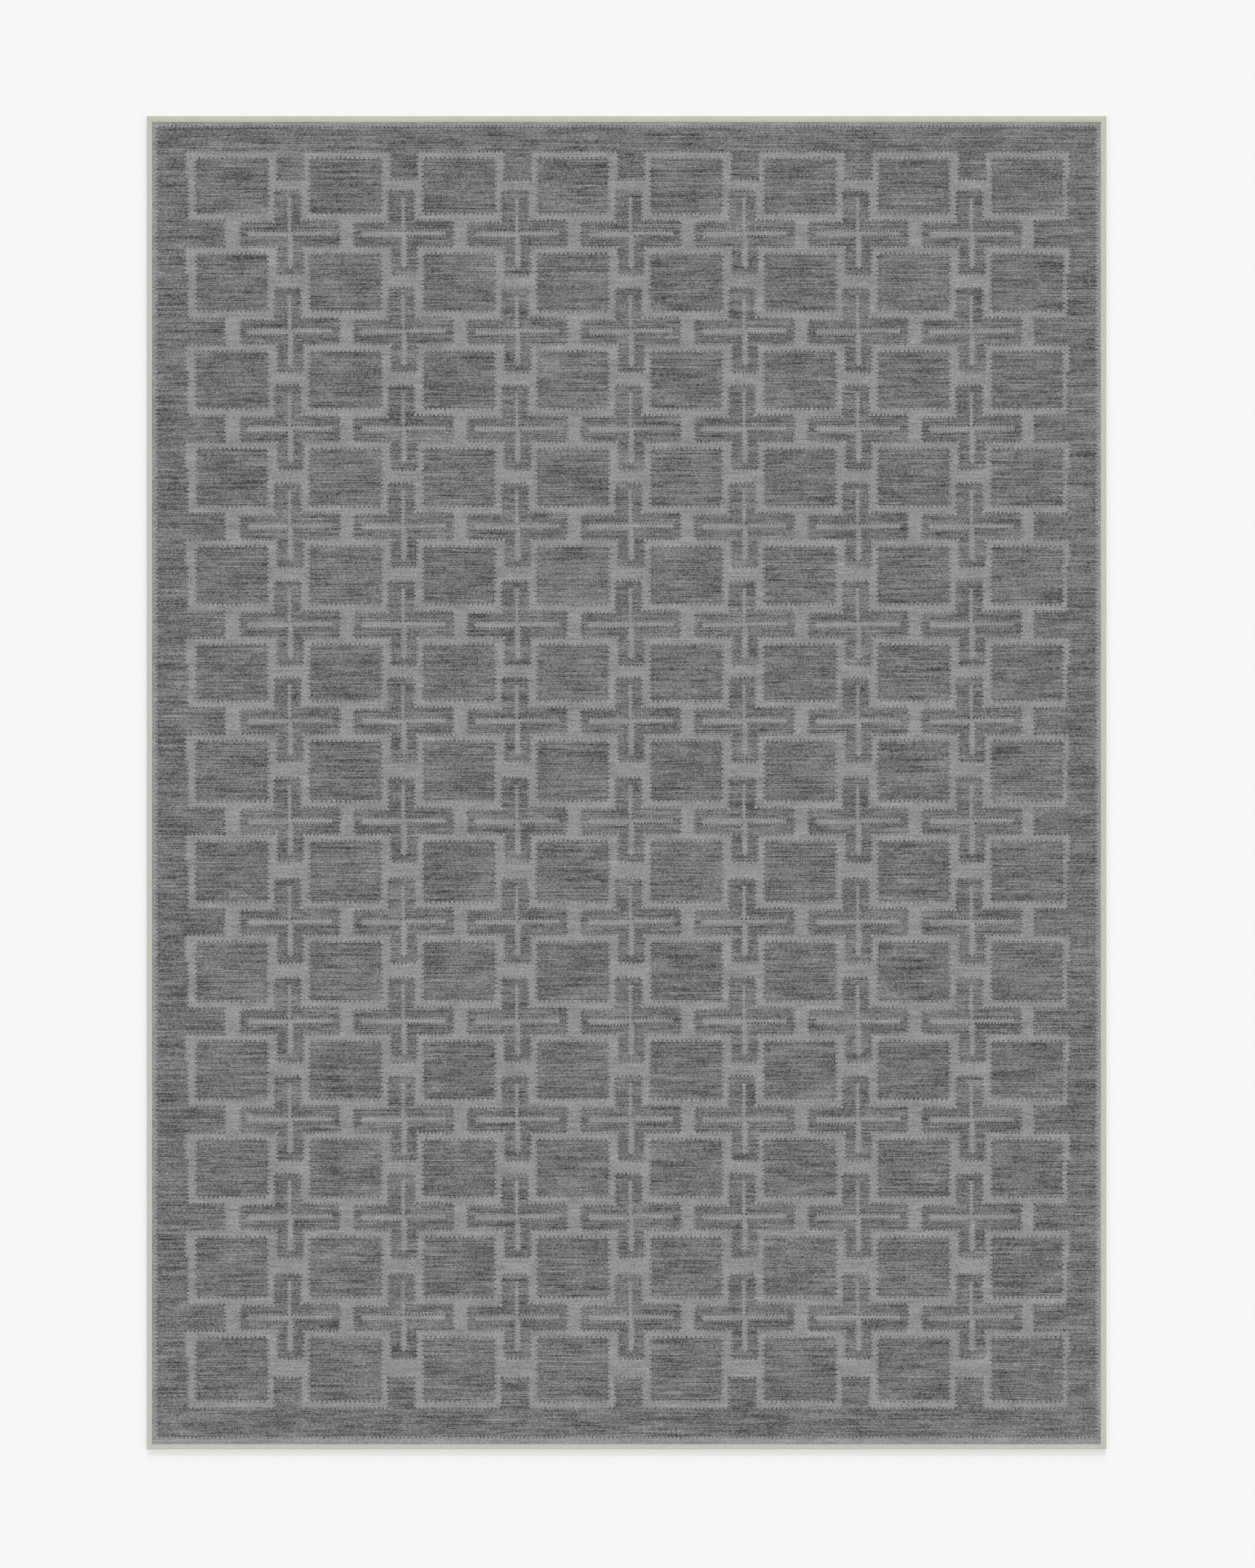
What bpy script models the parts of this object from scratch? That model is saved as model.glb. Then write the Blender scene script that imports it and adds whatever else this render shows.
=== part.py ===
"""Bound area rug, in metres, +Z up. The origin is on the floor under the rug's middle.

X is the width, Y the length. Four flat layers lie on each other: a rubber grip sheet, a felt
cushion, a woven scrim and the face cloth. Four tapes, mitred at the corners, are folded round the
layers' edges and held by one line of lock stitch.
"""

from math import cos, pi, sin, sqrt

import bpy
from mathutils import Vector

# Overall size
RUG_WIDTH = 1.524
RUG_LENGTH = 2.118

# Layers, from the floor up. The grip sheet is as thick as the tape, so the rug lies flat.
FELT_THICK = 0.0030
SCRIM_THICK = 0.0008
FACE_THICK = 0.0025
FACE_PRESSED = 0.0010  # the face's height where the tape presses it down

# Binding tape
TAPE_THICK = 0.0010
TAPE_COVER_TOP = 0.0090  # how far it covers the face, from the rug's edge
TAPE_COVER_UNDER = 0.0110
FOLD_RADIUS = 0.0008  # outer radius of the tape's two folds
FOLD_STEPS = 4

# Lock stitch, in a groove that it pulls into the tape
STITCH_MARGIN = 0.0023  # from the tape's inner edge to the middle of the thread
THREAD_WIDE = 0.0006
THREAD_DEEP = 0.0003

# Care label, blank, in a window cut in the grip sheet's edge
LABEL_WIDE = 0.050
LABEL_LONG = 0.035
LABEL_THICK = 0.0004
LABEL_FROM_SIDE = 0.120  # from the rug's right edge to the label's near end
LABEL_CLEAR = 0.0015

GAP = 0.0003  # between pieces that touch

# Heights that follow from the layers
GRIP_THICK = TAPE_THICK
FELT_LOW = GRIP_THICK + GAP
SCRIM_LOW = FELT_LOW + FELT_THICK + GAP
FACE_LOW = SCRIM_LOW + SCRIM_THICK + GAP
FACE_TOP = FACE_LOW + FACE_THICK
TAPE_TOP = FACE_LOW + FACE_PRESSED + GAP + TAPE_THICK

# Distances from the rug's edge
LAYER_INSET = TAPE_THICK + GAP
FACE_INSET = TAPE_COVER_TOP + GAP
GRIP_INSET = TAPE_COVER_UNDER + GAP
STITCH_INSET = TAPE_COVER_TOP - STITCH_MARGIN

SAGE = (0.527, 0.527, 0.462)


def clear_scene():
    for thing in list(bpy.data.objects):
        bpy.data.objects.remove(thing, do_unlink=True)


def finish(name, colour, roughness=0.9):
    """A plain Principled material."""
    material = bpy.data.materials.new(name)
    material.use_nodes = True
    shader = material.node_tree.nodes["Principled BSDF"]
    shader.inputs["Base Color"].default_value = (*colour, 1.0)
    shader.inputs["Roughness"].default_value = roughness
    shader.inputs["Metallic"].default_value = 0.0
    return material


def add_piece(name, points, faces, material):
    mesh = bpy.data.meshes.new(name)
    mesh.from_pydata([tuple(p) for p in points], [], faces)
    mesh.materials.append(material)
    mesh.update()
    piece = bpy.data.objects.new(name, mesh)
    bpy.context.scene.collection.objects.link(piece)
    return piece


def rectangle(inset, height):
    """The rug's outline drawn in by inset, anticlockwise seen from above."""
    x = RUG_WIDTH / 2 - inset
    y = RUG_LENGTH / 2 - inset
    return [Vector(p) for p in ((-x, -y, height), (x, -y, height), (x, y, height), (-x, y, height))]


def stacked(name, rings, material):
    """A closed solid through rings of equal length, lowest first."""
    count = len(rings[0])
    faces = [tuple(reversed(range(count)))]
    for level in range(len(rings) - 1):
        low = level * count
        for i in range(count):
            j = (i + 1) % count
            faces.append((low + i, low + j, low + count + j, low + count + i))
    top = (len(rings) - 1) * count
    faces.append(tuple(range(top, top + count)))
    return add_piece(name, [p for ring in rings for p in ring], faces, material)


def label_place():
    """The label's low and high corners, seen from above, against the foot tape's inner edge."""
    right = RUG_WIDTH / 2 - LABEL_FROM_SIDE
    front = -RUG_LENGTH / 2 + GRIP_INSET
    return (right - LABEL_WIDE, front), (right, front + LABEL_LONG)


def add_grip_backing():
    """The rubber sheet, with a window in its foot edge round the care label."""
    (left, front), (right, back) = label_place()
    left -= LABEL_CLEAR
    right += LABEL_CLEAR
    back += LABEL_CLEAR
    x = RUG_WIDTH / 2 - GRIP_INSET
    y = RUG_LENGTH / 2 - GRIP_INSET
    outline = [(-x, -y), (left, -y), (left, back), (right, back), (right, -y), (x, -y), (x, y), (-x, y)]
    rings = [[Vector((*p, height)) for p in outline] for height in (0.0, GRIP_THICK)]
    return stacked("grip_backing", rings, finish("grip_rubber", (0.20, 0.20, 0.20), 0.75))


def add_care_label():
    (left, front), (right, back) = label_place()
    outline = [(left, front), (right, front), (right, back), (left, back)]
    low = GRIP_THICK - LABEL_THICK
    rings = [[Vector((*p, height)) for p in outline] for height in (low, GRIP_THICK)]
    return stacked("care_label", rings, finish("label_satin", (0.75, 0.75, 0.73), 0.5))


def add_cushion_felt():
    rings = [rectangle(LAYER_INSET, FELT_LOW), rectangle(LAYER_INSET, FELT_LOW + FELT_THICK)]
    return stacked("cushion_felt", rings, finish("grey_felt", (0.33, 0.33, 0.34)))


def add_backing_scrim():
    rings = [rectangle(LAYER_INSET, SCRIM_LOW), rectangle(LAYER_INSET, SCRIM_LOW + SCRIM_THICK)]
    return stacked("backing_scrim", rings, finish("scrim_weave", (0.55, 0.53, 0.48)))


def add_face_cloth():
    """The face, full height in the open and pressed flat under the tape."""
    pressed = FACE_LOW + FACE_PRESSED
    rings = [
        rectangle(LAYER_INSET, FACE_LOW),
        rectangle(LAYER_INSET, pressed),
        rectangle(FACE_INSET, pressed),
        rectangle(FACE_INSET, FACE_TOP),
    ]
    return stacked("face_cloth", rings, finish("face_yarn", (0.20, 0.20, 0.205), 0.95))


def groove(surface, inward):
    """The stitch groove's section as (inset, height). inward is 1 up into the tape, -1 down."""
    half = THREAD_WIDE / 2 + GAP
    floor = surface + inward * (THREAD_DEEP + GAP)
    near, far = STITCH_INSET - half, STITCH_INSET + half
    return [(near, surface), (near, floor), (far, floor), (far, surface)]


def folds():
    """The tape's two rounded outer folds as (inset, height), from its upper side to its lower."""
    upper, lower = [], []
    for step in range(FOLD_STEPS + 1):
        turn = pi / 2 * step / FOLD_STEPS
        inset = FOLD_RADIUS * (1 - sin(turn))
        sunk = FOLD_RADIUS * (1 - cos(turn))
        upper.append((inset, TAPE_TOP - sunk))
        lower.insert(0, (inset, sunk))
    return upper + lower


def tape_profile():
    """The folded tape's section as (inset, height), round the outside and back along the inside."""
    outside = [(TAPE_COVER_TOP, TAPE_TOP)]
    outside += reversed(groove(TAPE_TOP, -1))
    outside += folds()
    outside += groove(0.0, 1)
    outside += [(TAPE_COVER_UNDER, 0.0)]
    inside = [
        (TAPE_COVER_UNDER, TAPE_THICK),
        (TAPE_THICK, TAPE_THICK),
        (TAPE_THICK, TAPE_TOP - TAPE_THICK),
        (TAPE_COVER_TOP, TAPE_TOP - TAPE_THICK),
    ]
    return outside + inside


def add_tape(name, along, outward, half_along, half_across, material):
    """One side's tape. along runs the tape, outward points off the rug, and its ends are mitred."""
    profile = tape_profile()
    mitre_gap = GAP / 2 * sqrt(2)  # half the gap between two mitred ends, measured along the edge
    points = []
    for end in (-1, 1):
        for inset, height in profile:
            reach = half_along - inset - mitre_gap
            place = along * (end * reach) + outward * (half_across - inset)
            points.append(place + Vector((0, 0, height)))
    count = len(profile)
    faces = [tuple(reversed(range(count))), tuple(range(count, 2 * count))]
    for i in range(count):
        j = (i + 1) % count
        faces.append((i, j, count + j, count + i))
    return add_piece(name, points, faces, material)


def add_binding():
    material = finish("binding_weave", SAGE, 0.85)
    half_x, half_y = RUG_WIDTH / 2, RUG_LENGTH / 2
    sides = {
        "head": (Vector((-1, 0, 0)), Vector((0, 1, 0)), half_x, half_y),
        "foot": (Vector((1, 0, 0)), Vector((0, -1, 0)), half_x, half_y),
        "left": (Vector((0, -1, 0)), Vector((-1, 0, 0)), half_y, half_x),
        "right": (Vector((0, 1, 0)), Vector((1, 0, 0)), half_y, half_x),
    }
    for side, (along, outward, half_along, half_across) in sides.items():
        add_tape(f"binding_{side}", along, outward, half_along, half_across, material)


def add_thread(name, low, material):
    """One thread of the lock stitch, a flat ring in the tapes' groove."""
    outer = STITCH_INSET - THREAD_WIDE / 2
    inner = STITCH_INSET + THREAD_WIDE / 2
    rings = [
        rectangle(outer, low),
        rectangle(outer, low + THREAD_DEEP),
        rectangle(inner, low + THREAD_DEEP),
        rectangle(inner, low),
    ]
    faces = []
    for level in range(4):
        for i in range(4):
            j = (i + 1) % 4
            a, b = level * 4, (level + 1) % 4 * 4
            faces.append((a + i, a + j, b + j, b + i))
    return add_piece(name, [p for ring in rings for p in ring], faces, material)


def add_stitching():
    material = finish("binding_thread", SAGE, 0.7)
    add_thread("needle_thread", TAPE_TOP - THREAD_DEEP, material)
    add_thread("bobbin_thread", 0.0, material)


def build():
    clear_scene()
    add_grip_backing()
    add_care_label()
    add_cushion_felt()
    add_backing_scrim()
    add_face_cloth()
    add_binding()
    add_stitching()


build()
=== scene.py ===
import bpy
import bmesh
import math
import random
from functools import partial
import numpy as np
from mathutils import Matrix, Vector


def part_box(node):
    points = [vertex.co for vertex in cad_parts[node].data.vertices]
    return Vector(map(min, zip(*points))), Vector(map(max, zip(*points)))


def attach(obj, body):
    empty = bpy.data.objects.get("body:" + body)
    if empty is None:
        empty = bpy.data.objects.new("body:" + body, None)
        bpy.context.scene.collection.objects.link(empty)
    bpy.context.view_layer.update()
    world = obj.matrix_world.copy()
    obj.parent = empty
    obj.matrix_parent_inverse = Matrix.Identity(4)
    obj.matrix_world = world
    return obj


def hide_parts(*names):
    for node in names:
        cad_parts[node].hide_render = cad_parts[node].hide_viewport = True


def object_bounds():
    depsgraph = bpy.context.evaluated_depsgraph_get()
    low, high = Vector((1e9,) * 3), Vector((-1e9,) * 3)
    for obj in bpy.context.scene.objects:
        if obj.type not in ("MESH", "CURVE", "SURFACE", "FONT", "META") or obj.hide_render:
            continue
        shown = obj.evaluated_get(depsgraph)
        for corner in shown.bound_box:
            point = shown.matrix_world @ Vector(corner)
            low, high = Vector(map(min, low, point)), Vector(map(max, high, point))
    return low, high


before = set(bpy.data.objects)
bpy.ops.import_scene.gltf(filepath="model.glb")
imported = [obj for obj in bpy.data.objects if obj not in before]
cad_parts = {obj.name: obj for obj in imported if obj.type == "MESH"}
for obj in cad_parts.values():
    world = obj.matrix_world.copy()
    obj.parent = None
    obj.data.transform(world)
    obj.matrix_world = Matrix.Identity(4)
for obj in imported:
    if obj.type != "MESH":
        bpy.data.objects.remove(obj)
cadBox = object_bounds()
rugHalfWide = cadBox[1].x
rugHalfLong = cadBox[1].y


def meshFrom(name, points, faces, edges=()):
    mesh = bpy.data.meshes.new(name)
    mesh.from_pydata([tuple(p) for p in points], list(edges), list(faces))
    mesh.update()
    return mesh


def objectFrom(name, data):
    made = bpy.data.objects.new(name, data)
    bpy.context.scene.collection.objects.link(made)
    return made


def addNode(tree, kind, inputs=None, **settings):
    made = tree.nodes.new(kind)
    for key, value in settings.items():
        setattr(made, key, value)
    for key, value in (inputs or {}).items():
        if isinstance(value, bpy.types.NodeSocket):
            tree.links.new(value, made.inputs[key])
        else:
            made.inputs[key].default_value = value
    return made


def nodeOut(tree, kind, inputs=None, **settings):
    # a new node's first output
    return addNode(tree, kind, inputs, **settings).outputs[0]


def maths(tree, operation, *values):
    return nodeOut(tree, "ShaderNodeMath", dict(enumerate(values)), operation=operation)


def vectorOf(tree, x, y, z=0.0):
    return nodeOut(tree, "ShaderNodeCombineXYZ", {0: x, 1: y, 2: z})


def ramp(tree, value, low, high, to=(0.0, 1.0), kind="SMOOTHSTEP"):
    inputs = {0: value, 1: low, 2: high, 3: to[0], 4: to[1]}
    return nodeOut(tree, "ShaderNodeMapRange", inputs, interpolation_type=kind)


def noiseAt(tree, place, detail=1.0, scale=1.0):
    inputs = {"Vector": place, "Scale": scale, "Detail": detail}
    return nodeOut(tree, "ShaderNodeTexNoise", inputs)


def blend(tree, share, first, second, kind="MIX"):
    inputs = {0: share, 6: first, 7: second}
    return addNode(tree, "ShaderNodeMix", inputs, data_type="RGBA", blend_type=kind).outputs[2]


def positionParts(tree, vector):
    return addNode(tree, "ShaderNodeSeparateXYZ", {0: vector}).outputs


def newTree(name, kind, inputs, outputs):
    # each socket by its label, with its kind or else the value it starts from
    tree = bpy.data.node_groups.new(name, kind)
    kinds = {float: "Float", int: "Int", tuple: "Vector"}
    for side, sockets in (("INPUT", inputs), ("OUTPUT", outputs)):
        for label, given in sockets.items():
            socket = "NodeSocket" + kinds.get(type(given), str(given))
            made = tree.interface.new_socket(label, in_out=side, socket_type=socket)
            if type(given) in kinds:
                made.default_value = given
    return tree, tree.nodes.new("NodeGroupInput").outputs, tree.nodes.new("NodeGroupOutput").inputs


def upperOnly(tree):
    # true for the points of a slab's upper side
    upper = nodeOut(tree, "GeometryNodeInputNamedAttribute", {"Name": "upper"}, data_type="FLOAT")
    return maths(tree, "GREATER_THAN", upper, 0.5)


def store(tree, geometry, name, value, kind, domain):
    inputs = {"Geometry": geometry, "Name": name, "Value": value}
    return nodeOut(tree, "GeometryNodeStoreNamedAttribute", inputs, data_type=kind, domain=domain)


def endTree(tree, geometry, finish, put):
    plain = nodeOut(tree, "GeometryNodeRealizeInstances", {0: geometry})
    finished = nodeOut(tree, "GeometryNodeSetMaterial", {"Geometry": plain, "Material": finish})
    tree.links.new(finished, put["Geometry"])


def addModifier(obj, tree, values):
    # values go in by each socket's identifier
    modifier = obj.modifiers.new(tree.name, "NODES")
    modifier.node_group = tree
    sockets = {s.name: s.identifier for s in tree.interface.items_tree if s.in_out == "INPUT"}
    for label, value in values.items():
        modifier[sockets[label]] = value


def settle(obj):
    # the evaluated shape becomes the object's plain mesh, and the modifiers go
    graph = bpy.context.evaluated_depsgraph_get()
    mesh = bpy.data.meshes.new_from_object(obj.evaluated_get(graph))
    obj.modifiers.clear()
    old = obj.data
    obj.data = mesh
    bpy.data.meshes.remove(old)
    mesh.name = obj.name
    return mesh


def streaksGroup():
    # lighter and darker lengths of yarn along the rows, as a tone round zero
    tree, get, put = newTree("yarnStreaks", "ShaderNodeTree", {
        "Vector": "Vector",
        "Length": 0.05,
        "Thickness": 0.0025,
        "Seed": 0.0,
    }, {"Tone": "Float"})
    calc = partial(maths, tree)
    x, y, z = positionParts(tree, get["Vector"])
    along, up = calc("DIVIDE", x, get["Length"]), calc("DIVIDE", y, get["Thickness"])
    place = vectorOf(tree, along, up, get["Seed"])
    tree.links.new(calc("SUBTRACT", noiseAt(tree, place), 0.5), put["Tone"])
    return tree


def cellsGroup():
    # a weave's crossings, two to a pitch each way, every one with its own tone, with painted shade in the
    # gaps between them
    tree, get, put = newTree("weaveCells", "ShaderNodeTree", {
        "Vector": "Vector",
        "Warp Pitch": 0.0041,
        "Row Pitch": 0.00385,
        "Wander": 0.001,
        "Seed": 0.0,
    }, {"Tone": "Float", "Turn": "Float",
        "Gap": "Float", "Rise": "Float"})
    calc = partial(maths, tree)
    x, y, z = positionParts(tree, get["Vector"])
    drift = noiseAt(tree, get["Vector"], scale=120.0)
    shift = calc("MULTIPLY", calc("SUBTRACT", drift, 0.5), get["Wander"])
    across = calc("DIVIDE", calc("ADD", x, shift), calc("MULTIPLY", get["Warp Pitch"], 0.5))
    upShift = calc("MULTIPLY", shift, 0.5)
    up = calc("DIVIDE", calc("ADD", y, upShift), calc("MULTIPLY", get["Row Pitch"], 0.5))
    column, row = calc("FLOOR", across), calc("FLOOR", up)
    own = addNode(tree, "ShaderNodeTexWhiteNoise", {"Vector": vectorOf(tree, column, row, get["Seed"])})
    tree.links.new(calc("SUBTRACT", own.outputs["Value"], 0.5), put["Tone"])
    pair = calc("FLOORED_MODULO", calc("ADD", column, row), 2.0)
    tree.links.new(calc("SUBTRACT", pair, 0.5), put["Turn"])
    sideways, upwards = (calc("ABSOLUTE", calc("SUBTRACT", calc("FRACT", v), 0.5)) for v in (across, up))
    # Gap is painted shade: 1 at each crossing's edge, where the yarns dip, for darkening the colour there
    gap = calc("MAXIMUM", ramp(tree, sideways, 0.30, 0.5), ramp(tree, upwards, 0.32, 0.5))
    tree.links.new(gap, put["Gap"])
    bead = [calc("SUBTRACT", 1.0, calc("POWER", calc("MULTIPLY", v, 2.0), 2.5)) for v in (sideways, upwards)]
    rise = calc("MULTIPLY", calc("MULTIPLY", *bead), calc("ADD", pair, 1.0))
    tree.links.new(rise, put["Rise"])
    return tree


def fibreGroup():
    # fine short fibres, as a tone round zero
    tree, get, put = newTree("fibreGrain", "ShaderNodeTree", {
        "Vector": "Vector",
        "Fibre": 0.001,
        "Stretch": 1.0,
    }, {"Tone": "Float"})
    calc = partial(maths, tree)
    x, y, z = positionParts(tree, get["Vector"])
    along = calc("DIVIDE", x, calc("MULTIPLY", get["Fibre"], get["Stretch"]))
    place = vectorOf(tree, along, calc("DIVIDE", y, get["Fibre"]), calc("DIVIDE", z, get["Fibre"]))
    tree.links.new(calc("SUBTRACT", noiseAt(tree, place), 0.5), put["Tone"])
    return tree


def patchesGroup():
    # soft patches of slightly different dye lots
    tree, get, put = newTree("dyePatches", "ShaderNodeTree", {
        "Vector": "Vector",
        "Patch": (0.1, 0.1, 0.1),
        "Cool": "Color",
        "Warm": "Color",
    }, {"Tint": "Color"})
    place = addNode(tree, "ShaderNodeVectorMath", {0: get["Vector"], 1: get["Patch"]}, operation="DIVIDE")
    share = ramp(tree, noiseAt(tree, place.outputs[0], detail=2.0), 0.3, 0.7)
    tree.links.new(blend(tree, share, get["Cool"], get["Warm"]), put["Tint"])
    return tree


groups = {
    "streaks": streaksGroup(),
    "cells": cellsGroup(),
    "fibre": fibreGroup(),
    "patches": patchesGroup(),
}


def useGroup(tree, key, inputs):
    return addNode(tree, "ShaderNodeGroup", inputs, node_tree=groups[key]).outputs


def fibreTone(tree, place, size, stretch):
    return useGroup(tree, "fibre", {"Vector": place, "Fibre": size, "Stretch": stretch})["Tone"]


def newMaterial(name, roughness, specular, attribute=None):
    # also returns what places its pattern: an attribute, or else the object's own coordinates
    material = bpy.data.materials.new(name)
    material.use_nodes = True
    tree = material.node_tree
    shader = tree.nodes["Principled BSDF"]
    shader.inputs["Roughness"].default_value = roughness
    shader.inputs["Specular IOR Level"].default_value = specular
    if attribute:
        place = addNode(tree, "ShaderNodeAttribute", attribute_name=attribute).outputs["Vector"]
    else:
        place = addNode(tree, "ShaderNodeTexCoord").outputs["Object"]
    return material, tree, shader, place


def bump(tree, shader, height, distance, strength):
    made = addNode(tree, "ShaderNodeBump", {"Height": height, "Distance": distance, "Strength": strength})
    tree.links.new(made.outputs[0], shader.inputs["Normal"])


def toneSum(tree, *parts):
    # 1 plus each (tone, how much it counts)
    total = 1.0
    for tone, much in parts:
        total = maths(tree, "MULTIPLY_ADD", tone, much, total)
    return total


def shade(tree, colour, tone):
    # a colour made lighter or darker by a tone round one
    whole = nodeOut(tree, "ShaderNodeCombineColor", {0: tone, 1: tone, 2: tone})
    return blend(tree, 1.0, colour, whole, "MULTIPLY")


weave = {
    "rowPitch": 0.0038532,  # one weft rib
    "warpPitch": 0.0041,
    "ribHeight": 0.0007,
    "ribTop": 0.0079,
    "figureTop": 0.0082,
    "figureLow": 0.0066,
    "inset": 0.0013,  # from the rug's edge to the cloth's
    "pressed": 0.0010,  # the cloth's height under the tape
    "cover": 0.0090,  # how far the tape presses it
    "slub": 0.5,  # how unevenly thick a rib is
    "wander": 0.0009,  # how far a rib strays
    "seed": 3.0,
    "strips": 9,
    "ribsInStrip": 61,
    "rowsInRib": 4,
    "columns": 200,
}
yarns = {
    "streaks": {"long": (0.130, 0.0028, 0), "middle": (0.032, 0.0026, 5)},  # length, thickness, seed step
    "grains": {"short": (0.0024, 1.2), "fibres": (0.00035, 4.0), "broad": (0.022, 2.2)},  # size, stretch
    "cellWander": 0.0014,
    "darkest": 0.25,
    "tints": {"Patch": (0.20, 0.06, 0.1), "Cool": (0.975, 0.976, 0.978, 1),
              "Warm": (1.025, 1.024, 1.022, 1)},
    "groundYarn": {
        "colour": (0.173, 0.173, 0.1732, 1.0),
        "seed": 2.0,
        # gap: painted shade, how much the gaps between crossings darken the colour
        "contrast": {"long": 1.5, "middle": 1.0, "cell": 0.66, "short": 1.0, "fibres": 1.1, "broad": 0.95,
                     "turn": -0.11, "gap": -0.14},
    },
    "figureYarn": {
        "colour": (0.275, 0.275, 0.275, 1.0),
        "seed": 12.0,
        # gap: painted shade in the gaps between crossings, as for the ground
        "contrast": {"long": 0.5, "middle": 0.5, "cell": 0.33, "short": 0.7, "fibres": 0.7, "broad": 0.4,
                     "turn": -0.05, "gap": -0.06},
    },
}


def clothFinish(name):
    yarn = yarns[name]
    seed = yarn["seed"]
    material, tree, shader, place = newMaterial(name, 0.95, 0.15, "woven")
    cells = useGroup(tree, "cells", {
        "Vector": place, "Warp Pitch": weave["warpPitch"], "Row Pitch": weave["rowPitch"],
        "Wander": yarns["cellWander"], "Seed": seed})
    # the gap tone darkens the colour between crossings: painted shade
    tones = {"cell": cells["Tone"], "turn": cells["Turn"], "gap": cells["Gap"]}
    for key, (length, thick, step) in yarns["streaks"].items():
        inputs = {"Vector": place, "Length": length, "Thickness": thick, "Seed": seed + step}
        tones[key] = useGroup(tree, "streaks", inputs)["Tone"]
    for key, (size, stretch) in yarns["grains"].items():
        tones[key] = fibreTone(tree, place, size, stretch)
    tone = toneSum(tree, *[(tones[key], much) for key, much in yarn["contrast"].items()])
    colour = shade(tree, yarn["colour"], maths(tree, "MAXIMUM", tone, yarns["darkest"]))
    tint = useGroup(tree, "patches", {"Vector": place, **yarns["tints"]})["Tint"]
    tree.links.new(blend(tree, 1.0, colour, tint, "MULTIPLY"), shader.inputs["Base Color"])
    height = toneSum(tree, (cells["Rise"], 0.6), (tones["fibres"], 0.9), (tones["short"], 0.6))
    bump(tree, shader, height, 0.0005, 0.8)
    return material


def firstRib():
    # the ribs fill the cloth from edge to edge
    return -weave["rowPitch"] * weave["ribsInStrip"] * weave["strips"] / 2


pattern = {
    "shift": 0.0050,  # the pattern sits a little right of the cloth's middle
    "columns": 8,  # rectangles across
    "pitch": 0.18044,  # from one rectangle to the next
    "headMargin": 0.0568,  # from the rug's head edge to the first rectangle
    "overBar": 0.0445,  # from a rectangle's head edge to its cross bar
    "underBar": 0.0486,
    "rowGap": 0.0418,
    "barHeights": (0.0168, 0.0200, 0.0198, 0.0202, 0.0209, 0.0184, 0.0244,
                   0.0251, 0.0227, 0.0213, 0.0200, 0.0248, 0.0303),  # head to foot, uneven as woven
    "left": (-0.7009, -0.6968),  # the lattice's edge over a cross bar, and under it
    "right": (0.7040, 0.7002),
    "stubs": (-0.6382, 0.6478),  # how far the dark margin reaches in between rows
    "voidHalf": 0.0558,
    "voidInHead": 0.0121,
    "voidInFoot": 0.0128,
    "crossRise": 0.0693,  # from a dark cross's middle up to the bar over it
    "bandIn": (0.0161, 0.0157, 0.0164, 0.0187),  # light edge band: left, right, head, foot
    "seed": 11,
}
darkCross = {  # left, right and end of each arm, from the cross's middle
    "up": (-0.0231, 0.0196, 0.0693),
    "down": (-0.0185, 0.0237, -0.0659),
    "left": (0.0185, -0.0208, -0.0774),  # head side, foot side, end
    "right": (0.0220, -0.0214, 0.0815),
}
lightCross = {
    "up": (-0.0006, 0.0030, 0.0578),
    "down": (-0.0010, 0.0062, -0.0526),
    "left": (0.0030, -0.0042, -0.0641),
    "right": (0.0030, -0.0017, 0.0690),
}
teeth = {  # pitch, how far tips stand out of the line, how far gaps go in, tooth's share of the pitch
    "bars": (0.00635, 0.0017, 0.0017, 0.48),
    "voids": (0.0075, 0.0039, 0.0, 0.40),
    "lightCross": (0.0052, 0.0029, 0.0, 0.50),
}


def patternRows():
    # each row's head edge, the head and foot sides of its cross bar, and its foot edge
    rows = []
    head = rugHalfLong - pattern["headMargin"]
    for bar in pattern["barHeights"]:
        barHead = head - pattern["overBar"]
        barFoot = barHead - bar
        rows.append((head, barHead, barFoot, barFoot - pattern["underBar"]))
        head = barFoot - pattern["underBar"] - pattern["rowGap"]
    return rows


def columnPlaces(count):
    return [pattern["shift"] + (i - (count - 1) / 2) * pattern["pitch"] for i in range(count)]


def crossCorners(arms, x, y):
    # anticlockwise from the upper arm's right corner
    up, down, left, right = arms["up"], arms["down"], arms["left"], arms["right"]
    corners = [
        (up[1], up[2]), (up[0], up[2]), (up[0], left[0]), (left[2], left[0]),
        (left[2], left[1]), (down[0], left[1]), (down[0], down[2]), (down[1], down[2]),
        (down[1], right[1]), (right[2], right[1]), (right[2], right[0]), (up[1], right[0]),
    ]
    return [(x + a, y + b) for a, b in corners]


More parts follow.
